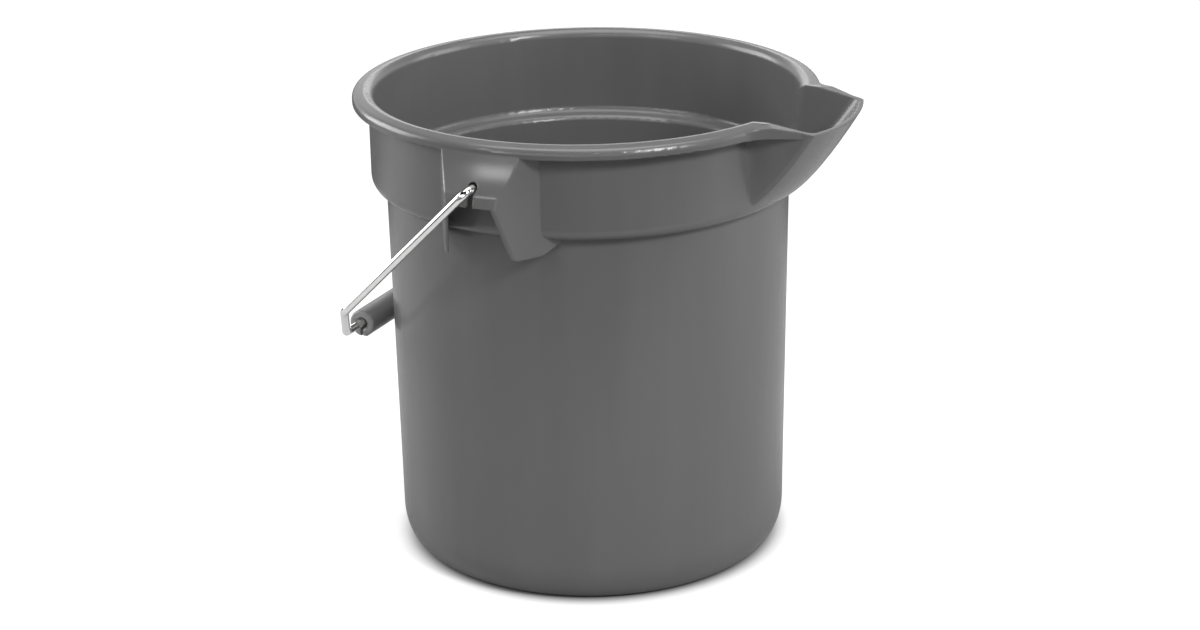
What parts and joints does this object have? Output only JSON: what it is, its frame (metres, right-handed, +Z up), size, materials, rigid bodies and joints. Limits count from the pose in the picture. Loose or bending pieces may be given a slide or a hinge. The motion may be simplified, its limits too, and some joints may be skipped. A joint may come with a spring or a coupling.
{
  "type": "utility bucket",
  "caption": "Round utility bucket with a stepped shoulder band, flared pour spout, moulded bail ears and a swinging wire bail with a plastic grip.",
  "frame": {"origin": "centre of the foot ring, on the floor it stands on", "axes": "+Z up along the bucket's axis, +X towards the pour spout, +Y through the ears along the bail's pivot axis"},
  "size_m": [0.279, 0.2872, 0.26],
  "materials": {
    "bucket_plastic": "satin",
    "plated_wire": "bright plated",
    "grip_plastic": "satin"
  },
  "bodies": {
    "bucket": {"bucket_body": "bucket_plastic"},
    "bail": {"bail_wire": "plated_wire"},
    "grip": {"handle_grip": "grip_plastic"}
  },
  "joints": [
    {"name": "bail_swing", "type": "hinge", "parent": "bucket", "child": "bail", "pos_m": [0, 0, 0.2384], "axis": [0, 1, 0], "range_deg": [0, 270]},
    {"name": "grip_spin", "type": "hinge", "parent": "bail", "child": "grip", "pos_m": [-0.11735, 0, 0.12124], "axis": [0, 1, 0], "continuous": true}
  ]
}
